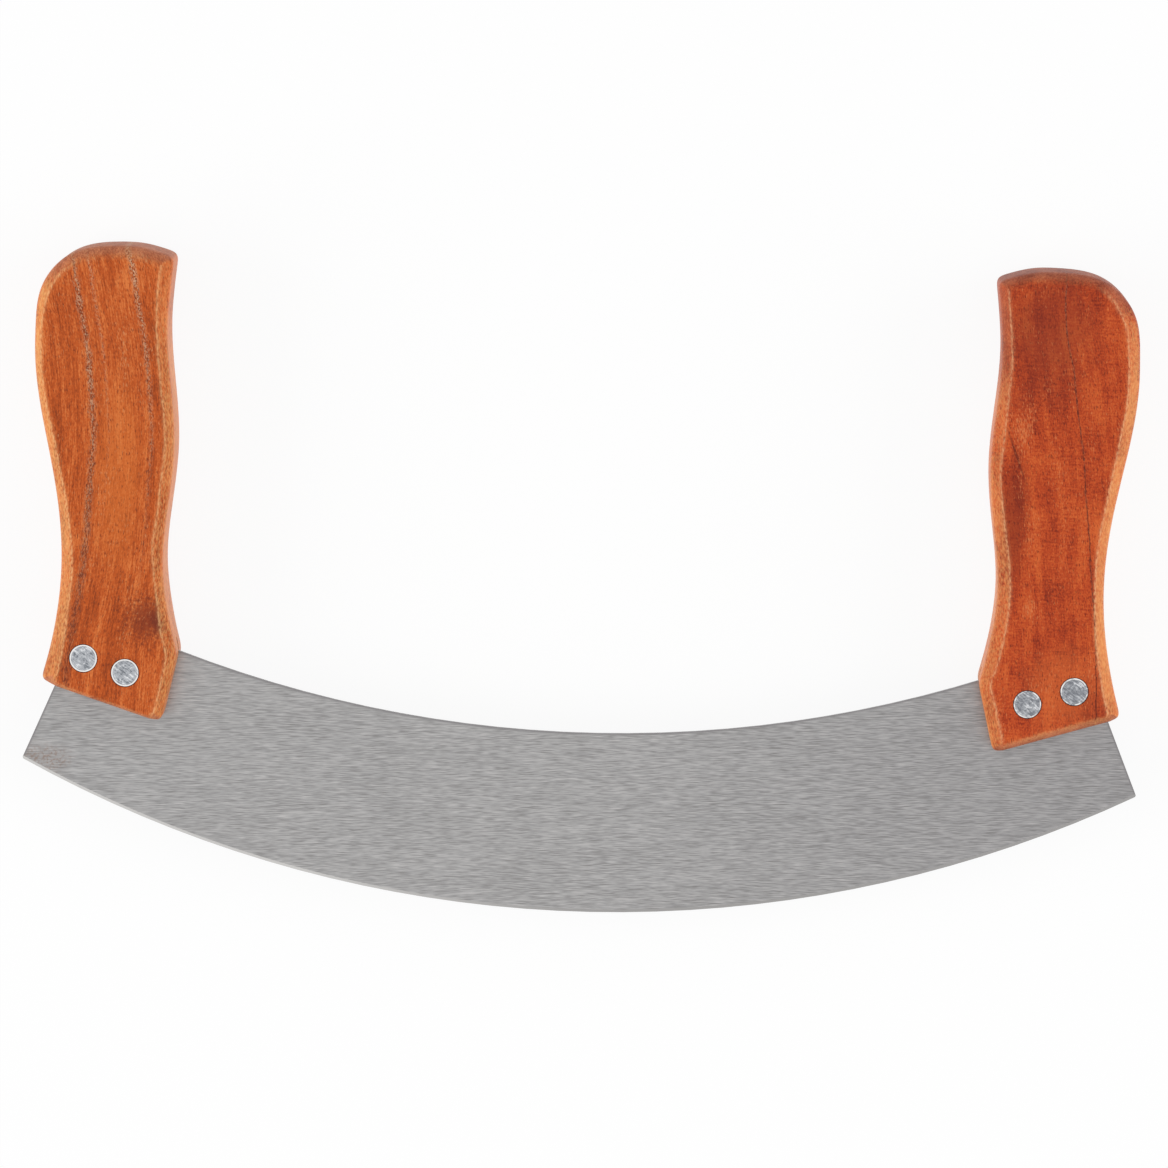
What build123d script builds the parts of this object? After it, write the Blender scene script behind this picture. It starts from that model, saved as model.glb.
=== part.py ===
from build123d import *
import os
from math import cos, radians, sin, sqrt

# A mezzaluna lying flat: X along the blade, Y towards the tops of the handles, Z up through the blade.
# The origin is under the middle of the whole tool, on the surface that the handles lie on.
# All sizes are in millimetres and all angles in degrees.

# Blade: a crescent stamped from stainless sheet, between two arcs of one radius
blade_chord = 260.0  # from corner to corner of the cutting edge
edge_radius = 282.4
blade_depth = 42.15  # from cutting edge to back, at the middle
blade_thickness = 1.2
end_angle = 22.7  # how far each straight end leans inwards
corner_cut = 0.3  # the two points of the cutting edge are blunted
flank_width = 0.7  # ground on each face along the cutting edge
edge_land = 0.2  # steel left at the very edge

# Handles: one pattern, but each is shaped, drilled and sanded by hand, so some sizes differ
handle_thickness = 20.0
edge_softness = 0.5
foot_angle = 17.3  # between the foot's cut and the blade's length
tip_slope = -0.35  # of the top, where it meets the inner side
left_width = 32.6
right_width = 33.9
left_rise = 97.4  # from the row of rivets to the top
right_rise = 98.5
left_foot = 8.5  # from the row of rivets to the foot's cut
right_foot = 9.2
left_lean = 0.65  # of the whole handle, outwards
right_lean = -0.65
left_bevel = 2.2
right_bevel = 2.75
left_foot_bevel = 0.8
right_foot_bevel = 2.2
left_row_offset = 0.86  # of the row of rivets, inwards from the grip's middle
right_row_offset = 1.64

# Places of the rows of rivets, measured from the two corners of the blade that the handles hide
left_row_inset = 4.77
right_row_inset = 6.52
row_drop = 11.45

# Saw kerf in each foot
kerf_gap = 0.1  # on each face of the blade
kerf_end_gap = 1.0  # above the blade's hidden corner

# Two-part rivets: a tube with a head from the front, a pin with a head pressed into it from the back
left_rivet_pitch = 10.2
right_rivet_pitch = 11.2
head_diameter = 6.4
head_thickness = 1.0
head_sink = 0.05  # heads lie this far below the wood
head_rim = 0.2
tube_diameter = 4.0
tube_bore = 3.0
tube_past_blade = 3.0
pin_past_blade = 5.5
recess_gap = 0.15  # round a head
shank_gap = 0.05  # round a tube, in wood and in steel
pin_gap = 0.02  # round a pin, in its tube

# Outline of the grip, in shares of its width from its middle and of its rise from the row of rivets
toe_share = -0.436
heel_share = 0.43
outer_shares = [(-0.3685, 0.041), (-0.296, 0.245), (-0.356, 0.449), (-0.455, 0.6125)]
bulge_shares = (-0.5, 0.78)
shoulder_shares = [(-0.45, 0.908), (-0.238, 0.9815)]
crown_shares = (0.08, 1.0)
tip_shares = (0.481, 0.975)
inner_shares = [
    (0.455, 0.898),
    (0.439, 0.817),
    (0.5, 0.535),
    (0.4716, 0.408),
    (0.429, 0.255),
    (0.4727, 0.1225),
]
kink_shares = (0.54, 0.028)

half_chord = blade_chord / 2
sagitta = edge_radius - sqrt(edge_radius**2 - half_chord**2)


def right_end():
    """The blade's right end, from the corner of the cutting edge to the back, where the handle hides it."""
    direction = Vector(-sin(radians(end_angle)), cos(radians(end_angle)))
    from_centre = Vector(half_chord, sagitta - edge_radius - blade_depth)
    along = from_centre.dot(direction)
    return direction * (-along - sqrt(along**2 - from_centre.dot(from_centre) + edge_radius**2))


# Overall places
end_run = right_end()
overall_height = sagitta + end_run.Y - row_drop + max(left_rise, right_rise)
edge_low = -overall_height / 2
corner_height = edge_low + sagitta
mid_height = handle_thickness / 2
back = Vector(half_chord, corner_height, mid_height) + end_run


def row_plane(side, row_inset, tilt):
    """Middle of a row of rivets, X inwards and Y up the grip. side is -1 for left, 1 for right."""
    return Plane(
        origin=(side * (back.X - row_inset), back.Y - row_drop, mid_height),
        x_dir=(-side * cos(radians(tilt)), sin(radians(tilt)), 0),
        z_dir=(0, 0, -side),
    )


foot_planes = {
    "left": row_plane(-1, left_row_inset, -foot_angle),
    "right": row_plane(1, right_row_inset, -foot_angle),
}
pitches = {"left": left_rivet_pitch, "right": right_rivet_pitch}
rivets = {
    f"{side}_{place}": foot_planes[side].from_local_coords((sign * pitches[side] / 2, 0))
    for side in foot_planes
    for place, sign in (("outer", -1), ("inner", 1))
}

# Blade
with BuildPart() as blade:
    with BuildSketch(Plane.XY.offset(mid_height)) as crescent:
        with BuildLine():
            ThreePointArc((-half_chord, corner_height), (0, edge_low), (half_chord, corner_height))
            Line((half_chord, corner_height), (back.X, back.Y))
            ThreePointArc((back.X, back.Y), (0, edge_low + blade_depth), (-back.X, back.Y))
            Line((-back.X, back.Y), (-half_chord, corner_height))
        make_face()
        chamfer(crescent.vertices().sort_by(Axis.Y)[:2], corner_cut)
        with Locations(*[(rivet.X, rivet.Y) for rivet in rivets.values()]):
            Circle(tube_diameter / 2 + shank_gap, mode=Mode.SUBTRACT)
    extrude(amount=blade_thickness / 2, both=True)
    cutting_face = blade.faces().sort_by(Axis.Y)[0]
    chamfer(
        cutting_face.edges().filter_by(GeomType.CIRCLE),
        length=(blade_thickness - edge_land) / 2,
        length2=flank_width,
        reference=cutting_face,
    )


def shape_handle(foot_plane, grip_plane, width, rise, foot, row_offset, bevel, foot_bevel, pitch):
    """One handle: outline, bevels, softened edges, kerf, and the bores and recesses of its two rivets."""
    foot_turn = radians(foot_plane.x_dir.get_angle(grip_plane.x_dir))

    def spot(shares):
        return (shares[0] * width - row_offset, shares[1] * rise)

    def on_foot(share):
        across = share * width - row_offset
        return (across, -(foot + across * sin(foot_turn)) / cos(foot_turn))

    with BuildPart() as handle:
        with BuildSketch(grip_plane):
            with BuildLine():
                outer = Spline(on_foot(toe_share), *map(spot, outer_shares), spot(bulge_shares))
                Spline(
                    *map(spot, (bulge_shares, *shoulder_shares, crown_shares, tip_shares)),
                    tangents=(outer % 1, (1, tip_slope)),
                )
                Spline(*map(spot, (tip_shares, *inner_shares, kink_shares)))
                Polyline(spot(kink_shares), on_foot(heel_share), on_foot(toe_share))
            make_face()
        extrude(amount=handle_thickness / 2, both=True)
        rims = handle.faces().filter_by(Axis.Z).edges()
        foot_rims = rims.filter_by(Axis((0, 0, 0), foot_plane.x_dir))
        chamfer([edge for edge in rims if edge not in foot_rims], bevel)
        foot_face = handle.faces().filter_by(Axis((0, 0, 0), foot_plane.y_dir))[0]
        chamfer(foot_face.edges().filter_by(Axis((0, 0, 0), foot_plane.x_dir)), foot_bevel)
        fillet(handle.edges(), edge_softness)
        hidden_corner = foot_plane.to_local_coords(Vector(-foot_plane.z_dir.Z * back.X, back.Y, back.Z))
        with BuildSketch(foot_plane):
            with Locations((0, hidden_corner.Y + kerf_end_gap)):
                Rectangle(2 * width, rise, align=(Align.CENTER, Align.MAX))
        extrude(amount=blade_thickness / 2 + kerf_gap, both=True, mode=Mode.SUBTRACT)
        row = [(-pitch / 2, 0), (pitch / 2, 0)]
        with BuildSketch(foot_plane):
            with Locations(*row):
                Circle(tube_diameter / 2 + shank_gap)
        extrude(amount=handle_thickness, both=True, mode=Mode.SUBTRACT)
        recess_floor = handle_thickness / 2 - head_thickness - head_sink
        for face in (-1, 1):
            with BuildSketch(foot_plane.offset(face * recess_floor)):
                with Locations(*row):
                    Circle(head_diameter / 2 + recess_gap)
            extrude(amount=face * handle_thickness, mode=Mode.SUBTRACT)
    return handle


left_handle = shape_handle(
    foot_planes["left"],
    row_plane(-1, left_row_inset, left_lean),
    left_width,
    left_rise,
    left_foot,
    left_row_offset,
    left_bevel,
    left_foot_bevel,
    left_rivet_pitch,
)
right_handle = shape_handle(
    foot_planes["right"],
    row_plane(1, right_row_inset, right_lean),
    right_width,
    right_rise,
    right_foot,
    right_row_offset,
    right_bevel,
    right_foot_bevel,
    right_rivet_pitch,
)

os.makedirs("parts", exist_ok=True)
blade.part.label = "blade"
export_step(blade.part, "parts/blade.step")
left_handle.part.label = "left_handle"
export_step(left_handle.part, "parts/left_handle.step")
right_handle.part.label = "right_handle"
export_step(right_handle.part, "parts/right_handle.step")

# Rivets
for name, spot in rivets.items():
    with BuildPart() as tube:
        with BuildSketch(Plane(origin=(spot.X, spot.Y, handle_thickness - head_sink))):
            Circle(head_diameter / 2)
        extrude(amount=-head_thickness)
        fillet(tube.edges().sort_by(Axis.Z)[-1], head_rim)
        with BuildSketch(Plane(origin=(spot.X, spot.Y, mid_height - tube_past_blade))):
            Circle(tube_diameter / 2)
        extrude(until=Until.NEXT)
        with BuildSketch(Plane(origin=(spot.X, spot.Y, mid_height - tube_past_blade))):
            Circle(tube_bore / 2)
        extrude(amount=handle_thickness / 2 + tube_past_blade - head_sink - head_thickness, mode=Mode.SUBTRACT)
    tube.part.label = f"{name}_rivet_tube"
    export_step(tube.part, f"parts/{name}_rivet_tube.step")

    with BuildPart() as pin:
        with BuildSketch(Plane(origin=(spot.X, spot.Y, head_sink))):
            Circle(head_diameter / 2)
        extrude(amount=head_thickness)
        fillet(pin.edges().sort_by(Axis.Z)[0], head_rim)
        with BuildSketch(Plane(origin=(spot.X, spot.Y, head_sink))):
            Circle(tube_bore / 2 - pin_gap)
        extrude(amount=mid_height + pin_past_blade - head_sink)
    pin.part.label = f"{name}_rivet_pin"
    export_step(pin.part, f"parts/{name}_rivet_pin.step")
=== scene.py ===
import math

import bmesh
import bpy
import numpy as np
from mathutils import Matrix, Vector, noise
from mathutils.geometry import delaunay_2d_cdt


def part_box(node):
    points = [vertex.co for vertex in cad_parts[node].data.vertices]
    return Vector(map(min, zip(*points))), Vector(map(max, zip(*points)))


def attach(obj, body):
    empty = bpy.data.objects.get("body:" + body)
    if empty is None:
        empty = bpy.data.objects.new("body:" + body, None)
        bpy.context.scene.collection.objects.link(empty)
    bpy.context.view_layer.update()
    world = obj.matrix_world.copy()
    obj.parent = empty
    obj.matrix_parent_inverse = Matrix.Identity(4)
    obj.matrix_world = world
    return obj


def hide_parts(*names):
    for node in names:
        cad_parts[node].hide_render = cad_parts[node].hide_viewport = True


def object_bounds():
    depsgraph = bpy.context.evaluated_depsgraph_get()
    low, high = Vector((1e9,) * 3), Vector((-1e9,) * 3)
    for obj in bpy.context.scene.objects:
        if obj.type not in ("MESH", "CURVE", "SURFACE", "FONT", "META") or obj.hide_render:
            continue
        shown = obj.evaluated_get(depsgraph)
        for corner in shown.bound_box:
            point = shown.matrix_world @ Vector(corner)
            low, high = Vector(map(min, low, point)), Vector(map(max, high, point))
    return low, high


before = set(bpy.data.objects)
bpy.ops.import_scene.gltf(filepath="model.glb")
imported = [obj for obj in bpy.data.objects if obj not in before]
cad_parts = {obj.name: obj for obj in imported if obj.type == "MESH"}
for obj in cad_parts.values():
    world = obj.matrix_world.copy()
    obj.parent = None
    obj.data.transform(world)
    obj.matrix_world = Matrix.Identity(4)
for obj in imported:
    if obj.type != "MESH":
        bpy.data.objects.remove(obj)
cad_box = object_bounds()

# The blade: a crescent stamped from 1.2 mm stainless sheet and brushed lengthwise before it is cut. Its
# lower arc is ground to an edge from both faces, and its ends sit in saw kerfs in the handles, where the
# rivets go through it.
ARC_RADIUS = 0.2824  # of the cutting edge and of the back
BLADE_DEPTH = 0.04215
HALF_CHORD = 0.130
END_TURN = math.radians(22.7)
FLANK_WIDTH = 0.0007
# The band that the press rolled over is drawn darker, as painted shade
SHEAR_WIDTH = 0.0003  # rolled over by the press, along the back and the ends
BRUSH_TURN = math.radians(1.8)
STREAK_SIZE = (0.0028, 0.00011, 0.001)  # the real scratches are finer: drawn coarse enough to show
CLOUD_SIZE = (0.03, 0.012, 0.01)
CLOUD_SHARE = 0.06  # of the tone: the streaks have the rest
STEEL_TONES = ((0.32, "8B8988"), (0.5, "A5A4A4"), (0.68, "BFBDBC"))
STEEL_ROUGHNESS = (0.34, 0.46)
SCRATCH_DEPTH = 0.00004
# Painted shade, multiplied into the steel more and more towards the right end
RIGHT_END_PAINTED_SHADE = "EEEDEE"  # of the steel towards the right end
# Painted shade along the back and the ends
SHEARED_EDGE_PAINTED_SHADE = "868384"
# The ground edge, and the painted highlight that lightens it towards the left end
GROUND_STEEL, GROUND_STEEL_PAINTED_HIGHLIGHT = "A3A1A0", "CDCBC9"
BLOOM = "8A6F60"  # faint brown freckles by the left corner
BLOOM_PLACE = (-0.1245, -0.0450, 0.0106)
BLOOM_SIZE = (0.0085, 0.0050, 0.0060)
FRECKLE_SIZE = 0.0007
SPOT_CORE = 0.2  # share of a spot's radius at its full strength


def srgb(code):
    """A hex colour, as linear red, green, blue and alpha."""
    parts = [int(code[i:i + 2], 16) / 255 for i in (0, 2, 4)]
    return [c / 12.92 if c <= 0.04045 else ((c + 0.055) / 1.055) ** 2.4 for c in parts] + [1]


def add(tree, kind, inputs=None, stops=(), points=(), **settings):
    """Adds a node, sets its options, ramp stops or curve points, then fills or links its inputs."""
    node = tree.nodes.new(kind)
    for name, value in settings.items():
        setattr(node, name, value)
    for name, value in (inputs or {}).items():
        if isinstance(value, bpy.types.NodeSocket):
            tree.links.new(value, node.inputs[name])
        else:
            node.inputs[name].default_value = value
    for number, (position, code) in enumerate(stops):
        elements = node.color_ramp.elements
        stop = elements[number] if number < len(elements) else elements.new(position)
        stop.position = position
        stop.color = srgb(code)
    for number, spot in enumerate(points):
        bends = node.mapping.curves[0].points
        if number < len(bends):
            bends[number].location = spot
        else:
            bends.new(*spot)
    return node


def new_material(name):
    """An empty material, with its tree and its Object coordinates."""
    material = bpy.data.materials.new(name)
    material.use_nodes = True
    material.node_tree.nodes.clear()
    place = add(material.node_tree, "ShaderNodeTexCoord").outputs["Object"]
    return material, material.node_tree, place


def grain(tree, place, size, turn=0.0, detail=2.0, swirl=0.0, seed=0.0):
    """Noise whose grains measure size, in metres along each axis, turned in the blade's plane."""
    level = add(tree, "ShaderNodeVectorRotate", {"Vector": place, "Angle": -turn}, rotation_type="Z_AXIS")
    grains = add(tree, "ShaderNodeVectorMath", {
        0: level.outputs[0], 1: [1 / s for s in size], 2: [seed] * 3}, operation="MULTIPLY_ADD")
    return add(tree, "ShaderNodeTexNoise", {
        "Vector": grains.outputs[0], "Scale": 1, "Detail": detail, "Distortion": swirl}).outputs["Fac"]


def patch(tree, place, centre, size, ragged=0.0, grit=0.4, turn=0.0):
    """1 in the middle of an oval spot, fading to 0 at its edge, which noise makes ragged or gritty."""
    offset = add(tree, "ShaderNodeVectorMath", {0: place, 1: centre}, operation="SUBTRACT").outputs[0]
    offset = add(tree, "ShaderNodeVectorRotate", {"Vector": offset, "Angle": -turn},
                 rotation_type="Z_AXIS").outputs[0]
    shares = add(tree, "ShaderNodeVectorMath", {0: offset, 1: size}, operation="DIVIDE").outputs[0]
    far = add(tree, "ShaderNodeVectorMath", {0: shares}, operation="LENGTH").outputs["Value"]
    edge = grain(tree, place, [s * grit for s in size], detail=3)
    far = add(tree, "ShaderNodeMath", {0: edge, 1: ragged, 2: far}, operation="MULTIPLY_ADD").outputs[0]
    return add(tree, "ShaderNodeMapRange", {
        "Value": far, "From Min": 1 + ragged / 2, "From Max": SPOT_CORE + ragged / 2},
        interpolation_type="SMOOTHSTEP").outputs[0]


# Brushed stainless steel: fine lengthwise scratches that catch light one by one, a soft grey sheen
# Painted shade darkens the steel towards the right end and along the back and ends; a painted highlight
# lightens the ground edge towards the left end
edge_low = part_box("blade")[0].y
corner_height = edge_low + ARC_RADIUS - math.sqrt(ARC_RADIUS ** 2 - HALF_CHORD ** 2)
steel, tree, place = new_material("brushed_stainless_steel")
streaks = grain(tree, place, STREAK_SIZE, BRUSH_TURN, detail=1)
clouds = grain(tree, place, CLOUD_SIZE, BRUSH_TURN)
tone = add(tree, "ShaderNodeMath", {0: streaks, 1: 1 - CLOUD_SHARE}, operation="MULTIPLY").outputs[0]
tone = add(tree, "ShaderNodeMath", {0: clouds, 1: CLOUD_SHARE, 2: tone}, operation="MULTIPLY_ADD").outputs[0]
colour = add(tree, "ShaderNodeValToRGB", {"Fac": tone}, stops=STEEL_TONES).outputs[0]
flat = add(tree, "ShaderNodeVectorMath", {0: place, 1: (1, 1, 0)}, operation="MULTIPLY").outputs[0]
parts = add(tree, "ShaderNodeSeparateXYZ", {0: flat}).outputs
# Painted shade: the steel darkens towards the right end
right_end_shade_share = add(tree, "ShaderNodeMapRange", {
    "Value": parts["X"], "From Min": 0, "From Max": HALF_CHORD}).outputs[0]
colour = add(tree, "ShaderNodeMix", {0: right_end_shade_share, 6: colour, 7: srgb(RIGHT_END_PAINTED_SHADE)},
             data_type="RGBA", blend_type="MULTIPLY").outputs[2]
across = add(tree, "ShaderNodeMath", {0: parts["X"]}, operation="ABSOLUTE").outputs[0]
past_end = add(tree, "ShaderNodeMath", {0: across, 1: math.cos(END_TURN)}, operation="MULTIPLY").outputs[0]
past_end = add(tree, "ShaderNodeMath", {0: parts["Y"], 1: math.sin(END_TURN), 2: past_end},
               operation="MULTIPLY_ADD").outputs[0]
end_line = HALF_CHORD * math.cos(END_TURN) + corner_height * math.sin(END_TURN)
at_end = add(tree, "ShaderNodeMapRange", {
    "Value": past_end, "From Min": end_line - 2 * SHEAR_WIDTH, "From Max": end_line}).outputs[0]
from_back = add(tree, "ShaderNodeVectorMath", {
    0: flat, 1: (0, edge_low + BLADE_DEPTH + ARC_RADIUS, 0)}, operation="DISTANCE").outputs["Value"]
at_back = add(tree, "ShaderNodeMapRange", {
    "Value": from_back, "From Min": ARC_RADIUS + 2 * SHEAR_WIDTH, "From Max": ARC_RADIUS}).outputs[0]
# Painted shade along the rolled-over back and ends
sheared_edge_shade = add(tree, "ShaderNodeMath", {0: at_end, 1: at_back}, operation="MAXIMUM").outputs[0]
colour = add(tree, "ShaderNodeMix", {0: sheared_edge_shade, 6: colour, 7: srgb(SHEARED_EDGE_PAINTED_SHADE)},
             data_type="RGBA").outputs[2]
bloom = patch(tree, place, BLOOM_PLACE, BLOOM_SIZE, ragged=0.8)
freckles = grain(tree, place, [FRECKLE_SIZE] * 3, detail=3)
freckles = add(tree, "ShaderNodeMapRange", {
    "Value": freckles, "From Min": 0.45, "From Max": 0.65, "To Min": 0.1, "To Max": 0.6}).outputs[0]
bloom = add(tree, "ShaderNodeMath", {0: bloom, 1: freckles}, operation="MULTIPLY").outputs[0]
colour = add(tree, "ShaderNodeMix", {0: bloom, 6: colour, 7: srgb(BLOOM)}, data_type="RGBA").outputs[2]
from_edge = add(tree, "ShaderNodeVectorMath", {
    0: flat, 1: (0, edge_low + ARC_RADIUS, 0)}, operation="DISTANCE").outputs["Value"]
ground = add(tree, "ShaderNodeMath", {0: from_edge, 1: ARC_RADIUS - FLANK_WIDTH},
             operation="GREATER_THAN").outputs[0]
# Painted highlight on the ground edge, growing towards the left end
flank_highlight_share = add(tree, "ShaderNodeMapRange", {
    "Value": parts["X"], "From Min": 0.0, "From Max": -HALF_CHORD / 2}).outputs[0]
flank = add(tree, "ShaderNodeMix", {
    0: flank_highlight_share, 6: srgb(GROUND_STEEL), 7: srgb(GROUND_STEEL_PAINTED_HIGHLIGHT)}, data_type="RGBA").outputs[2]
colour = add(tree, "ShaderNodeMix", {0: ground, 6: colour, 7: flank}, data_type="RGBA").outputs[2]
finish = add(tree, "ShaderNodeMapRange", {
    "Value": streaks, "From Min": 0.3, "From Max": 0.7,
    "To Min": STEEL_ROUGHNESS[0], "To Max": STEEL_ROUGHNESS[1]}).outputs[0]
scratches = add(tree, "ShaderNodeBump", {
    "Height": streaks, "Strength": 0.25, "Distance": SCRATCH_DEPTH}).outputs[0]
surface = add(tree, "ShaderNodeBsdfPrincipled", {
    "Base Color": colour, "Metallic": 1, "Roughness": finish, "Normal": scratches})
add(tree, "ShaderNodeOutputMaterial", {"Surface": surface.outputs[0]})
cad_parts["blade"].material_slots[0].material = steel

# The handles: sawn from a plank of reddish hardwood, shaped on a spindle, bevelled and softened by hand on a
# belt, so that no bevel keeps its width, then stained and oiled. A saw kerf in each foot takes the blade,
# and each rivet has a bore with a recess for its head at both ends.
POINT_SPACING = 0.00035  # along the outline
FACE_SPACING = 0.0012
SPOTS_AT_ONCE = 2000
BEVEL_STEPS = 6
CORNER_WEAR = 0.0011  # how far along the outline each corner is worn round
WEAR_REACH = 12  # points each way that share in the wear
SIDE_ROUNDING = 0.0026  # where a bevel meets the side
ARRIS_SOFTNESS = 0.00042  # where a bevel meets the face
TOP_SOFTNESS = 0.00090  # the same over the top of the grip
# Share of the stain that the belt has taken off, as (share of the handle's height, share)
OUTER_SANDING = {
    "left": [(0.0, 0.34), (0.3, 0.36), (0.6, 0.42), (0.8, 0.5)],
    "right": [(0.0, 0.62), (0.6, 0.6), (0.85, 0.45), (1.0, 0.4)]}
INNER_SANDING = {
    "left": [(0.0, 0.25), (0.5, 0.25), (0.7, 0.27), (0.85, 0.17), (1.0, 0.12)],
    "right": [(0.0, 0.32), (0.5, 0.32), (0.62, 0.2), (0.68, 0.2), (0.73, 0.3), (0.8, 0.15), (0.9, 0.04),
              (1.0, 0.02)]}
TOP_SANDING = 0.12
CURVED_GRAIN = {"left": 0.0, "right": 0.65}  # end grain towards the top of the inner bevels
CURVED_GRAIN_RISE = (0.7, 0.12)  # where it starts and how soon it is full, as shares of the height
SIDE_SANDING = {"left": 1.2, "right": 1.7}  # against the inner bevels
BEVEL_WAVER = 0.00030
BEVEL_WAVE_LENGTH = 0.009
WAVER_SEEDS = (1.5, 8.5)  # of the front and the back
# Where the outline turns to face up or down the grip: from what share of its direction, and over what span
TOP_BEVEL_TURN = (0.55, 0.35)
TOP_SOFTNESS_TURN = (0.6, 0.3)
TOP_SANDING_TURN = (0.2, 0.5)
END_GRAIN_TURN = (0.35, 0.35)
# The painted highlight along the bevels' face edge fades where the outline turns up or down the grip
ARRIS_HIGHLIGHT_TURN = (0.7, 0.25)
FOOT_FACING = -0.95  # share of the direction, from where an edge is the foot's
TOUCHING = 0.000001  # points nearer than this are one
SHARP_ANGLE = math.radians(38)
# Widths of the bevels up a handle, as (share of its height, width)
OUTER_BEVELS = {
    "left": [(0.0, 0.0033), (0.11, 0.0033), (0.17, 0.0031), (0.22, 0.0028), (0.3, 0.0028), (0.38, 0.0026),
             (0.48, 0.0022), (0.6, 0.0019), (0.7, 0.0015), (0.8, 0.0015), (0.9, 0.0021), (1.0, 0.0022)],
    "right": [(0.0, 0.0030), (0.12, 0.0027), (0.2, 0.00245), (0.28, 0.00225), (0.45, 0.0022), (0.5, 0.00215),
              (0.6, 0.0025), (0.8, 0.0029), (1.0, 0.0029)]}
INNER_BEVELS = {
    "left": [(0.0, 0.0019), (0.11, 0.0022), (0.2, 0.0024), (0.28, 0.0019), (0.34, 0.0020), (0.39, 0.0023),
             (0.44, 0.0021), (0.49, 0.0023), (0.6, 0.0020), (0.8, 0.0021), (0.91, 0.0028), (1.0, 0.0026)],
    "right": [(0.0, 0.0027), (0.13, 0.0024), (0.2, 0.0029), (0.37, 0.0029), (0.48, 0.0026), (0.55, 0.0024),
              (0.68, 0.00235), (0.8, 0.00225), (0.9, 0.0022), (1.0, 0.0019)]}
TOP_BEVELS = {"left": 0.0024, "right": 0.0020}
FOOT_BEVELS = {"left": 0.0007, "right": 0.0018}
KERF_GAP = 0.0001  # on each face of the blade
RECESS_DEPTH = 0.00105
RECESS_GAP = 0.00015  # round a rivet's head
BORE_RADIUS = 0.00205
TURNED_SIDES = 96


def level_outline(node, height):
    """A node's outline, cut level at a height, with its corners worn round: close points, anticlockwise."""
    cut = bmesh.new()
    cut.from_mesh(node.data)
    bmesh.ops.remove_doubles(cut, verts=cut.verts, dist=TOUCHING)
    bmesh.ops.bisect_plane(cut, geom=[*cut.verts, *cut.edges, *cut.faces], dist=TOUCHING / 10,
                           plane_co=(0, 0, height), plane_no=(0, 0, 1), clear_inner=True, clear_outer=True)
    unseen = dict.fromkeys(cut.verts)  # keeps their order, so that every run starts at the same one
    loops = []
    while unseen:
        vertex = next(iter(unseen))
        loop = []
        while vertex:
            loop.append(vertex.co.xy)
            unseen.pop(vertex)
            vertex = next((v for e in vertex.link_edges for v in e.verts if v in unseen), None)
        loops.append(np.array(loop + loop[:1]))
    cut.free()
    lengths = [np.linalg.norm(np.diff(loop, axis=0), axis=1) for loop in loops]
    loop, steps = max(zip(loops, lengths), key=lambda pair: pair[1].sum())
    reach = np.concatenate([[0], np.cumsum(steps)])
    places = np.linspace(0, reach[-1], round(reach[-1] / POINT_SPACING), endpoint=False)
    outline = np.stack([np.interp(places, reach, loop[:, axis]) for axis in (0, 1)], 1)
    steps = np.arange(-WEAR_REACH, WEAR_REACH + 1)
    wear = np.exp(-0.5 * (steps * POINT_SPACING / CORNER_WEAR) ** 2)
    outline = sum(share * np.roll(outline, step, 0) for step, share in zip(steps, wear / wear.sum()))
    ahead = np.roll(outline, -1, 0)
    area = (outline[:, 0] * ahead[:, 1] - ahead[:, 0] * outline[:, 1]).sum()
    return outline if area > 0 else outline[::-1]


def past_bevels(spots, outline, widths):
    """How far each spot lies inside the bevels' inner edge, in a plan, and the outline's nearest point."""
    inside, nearest = [], []
    for some in np.array_split(spots, max(1, len(spots) // SPOTS_AT_ONCE)):
        far = np.linalg.norm(some[:, None] - outline, axis=2) - widths
        inside.append(far.min(axis=1))
        nearest.append(far.argmin(axis=1))
    return np.concatenate(inside), np.concatenate(nearest)


def fall(spots, outline, widths, softness):
    """How far the bevels, all at 45 degrees, lie below the face."""
    inside, nearest = past_bevels(spots, outline, widths)
    soft = softness[nearest]
    return np.where(inside > soft, 0, np.where(inside < -soft, inside, -(soft - inside) ** 2 / (4 * soft)))


def inset(outline, outward, depths, slack=TOUCHING / 1000):
    """The outline moved inwards, and which of its points are sound: at a corner the rest go to the mitre."""
    moved = outline - outward * depths[:, None]
    sound = past_bevels(moved, outline, depths)[0] > -slack
    kept = np.flatnonzero(sound)
    after = np.searchsorted(kept, np.arange(len(outline))) % len(kept)
    mitres = (moved[kept[after]] + moved[kept[after - 1]]) / 2
    return np.where(sound[:, None], moved, mitres), sound


def new_piece(name, spots, faces):
    """A mesh object at the origin, from its points and faces."""
    mesh = bpy.data.meshes.new(name)
    mesh.from_pydata([tuple(spot) for spot in spots], [], [tuple(face) for face in faces])
    piece = bpy.data.objects.new(name, mesh)
    bpy.context.scene.collection.objects.link(piece)
    return piece


def cut_away(piece, spots, faces):
    """Cuts a closed solid out of a piece."""
    cutter = new_piece("cutter", spots, faces)
    boolean = piece.modifiers.new("cut", "BOOLEAN")
    boolean.solver = "MANIFOLD"
    boolean.object = cutter
    shaped = piece.evaluated_get(bpy.context.evaluated_depsgraph_get())
    piece.data = bpy.data.meshes.new_from_object(shaped)
    piece.modifiers.remove(boolean)
    bpy.data.objects.remove(cutter)


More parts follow.
